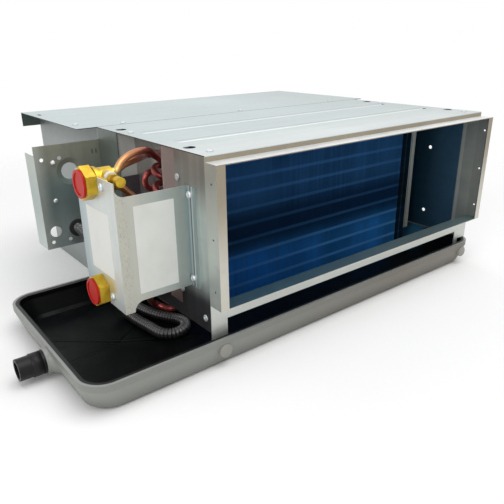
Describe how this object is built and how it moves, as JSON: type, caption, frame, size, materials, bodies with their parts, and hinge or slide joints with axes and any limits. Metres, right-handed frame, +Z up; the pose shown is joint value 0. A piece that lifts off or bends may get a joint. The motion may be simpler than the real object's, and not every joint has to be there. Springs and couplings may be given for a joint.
{
  "type": "ducted fan coil unit",
  "caption": "Ducted fan coil unit: galvanised casing with front outlet collar, finned water coil over a drain pan, capped brass connectors at the side, fans and filter behind.",
  "frame": {"origin": "on the floor below the middle of the unit's bounding box", "axes": "+X from the water-connection side to the far side, -Y out of the air outlet, +Z up"},
  "size_m": [0.719, 0.5164, 0.2426],
  "materials": {
    "galvanised": "zinc-coated sheet, soft sheen",
    "pan_grey": "mid-grey coated sheet, satin",
    "liner_black": "glossy black lining",
    "nozzle_black": "black moulded plastic",
    "fin_blue": "blue hydrophilic coating",
    "copper": "bare copper, darkened",
    "foam_dark": "closed-cell foam",
    "brass": "bare brass",
    "cap_red": "red moulded plastic",
    "screw_steel": "zinc-plated",
    "rubber_black": "black rubber",
    "terminal_ivory": "ivory moulded plastic",
    "plastic_black": "black plastic",
    "wheel_steel": "zinc-coated blades",
    "shaft_steel": "ground steel",
    "winding": "varnished core and windings",
    "motor_paint": "dark grey paint",
    "filter_frame_alu": "mill finish",
    "filter_net": "black nylon net"
  },
  "bodies": {
    "casing": {"top_panel": "galvanised", "rear_cover": "galvanised", "outlet_collar": "galvanised", "left_side_plate": "galvanised", "right_side_plate": "galvanised", "fan_deck": "galvanised", "plenum_left_panel": "galvanised", "plenum_right_panel": "galvanised", "plenum_bottom_panel": "galvanised", "pan_hanger": "galvanised", "pan_rear_bracket": "galvanised", "tube_sheet_left": "galvanised", "tube_sheet_right": "galvanised", "connection_bracket": "galvanised", "connection_plate": "galvanised", "fan_sides_left": "galvanised", "fan_sides_right": "galvanised", "fan_wrap_left": "galvanised", "fan_wrap_right": "galvanised", "motor_cradle": "galvanised", "motor_strap": "galvanised", "drain_pan": "pan_grey", "pan_liner": "liner_black", "drain_nozzle": "nozzle_black", "coil_fins": "fin_blue", "coil_tubes": "copper", "far_bends": "copper", "return_bends": "copper", "upper_branch_pipes": "copper", "lower_branch_pipes": "copper", "end_foam": "foam_dark", "upper_connector": "brass", "lower_connector": "brass", "vent_body": "brass", "casing_screws": "screw_steel", "bracket_screws": "screw_steel", "grommet": "rubber_black", "terminal_block": "terminal_ivory", "run_capacitor": "plastic_black", "conduit": "plastic_black", "conduit_plug": "plastic_black", "motor_bearings": "shaft_steel", "motor_stator": "winding", "motor_shell": "motor_paint", "motor_end_cap": "motor_paint"},
    "fan_rotor": {"motor_shaft": "shaft_steel", "motor_rotor": "shaft_steel", "fan_wheel_left": "wheel_steel", "fan_wheel_right": "wheel_steel"},
    "bleed_screw": {"vent_screw": "brass"},
    "top_cap": {"upper_cap": "cap_red"},
    "bottom_cap": {"lower_cap": "cap_red"},
    "filter": {"filter_frame": "filter_frame_alu", "filter_mesh": "filter_net"}
  },
  "joints": [
    {"name": "fan_spin", "type": "hinge", "parent": "casing", "child": "fan_rotor", "pos_m": [0.083, 0.13575, 0.112], "axis": [1, 0, 0], "continuous": true},
    {"name": "bleed_turn", "type": "hinge", "parent": "casing", "child": "bleed_screw", "pos_m": [-0.2425, -0.18825, 0.217], "axis": [0, -1, 0], "range_deg": [0, 360]},
    {"name": "top_cap_pull", "type": "slide", "parent": "casing", "child": "top_cap", "axis": [-1, 0, 0], "range_m": [0, 0.03]},
    {"name": "bottom_cap_pull", "type": "slide", "parent": "casing", "child": "bottom_cap", "axis": [-1, 0, 0], "range_m": [0, 0.03]},
    {"name": "filter_draw", "type": "slide", "parent": "casing", "child": "filter", "axis": [1, 0, 0], "range_m": [0, 0.5]}
  ]
}
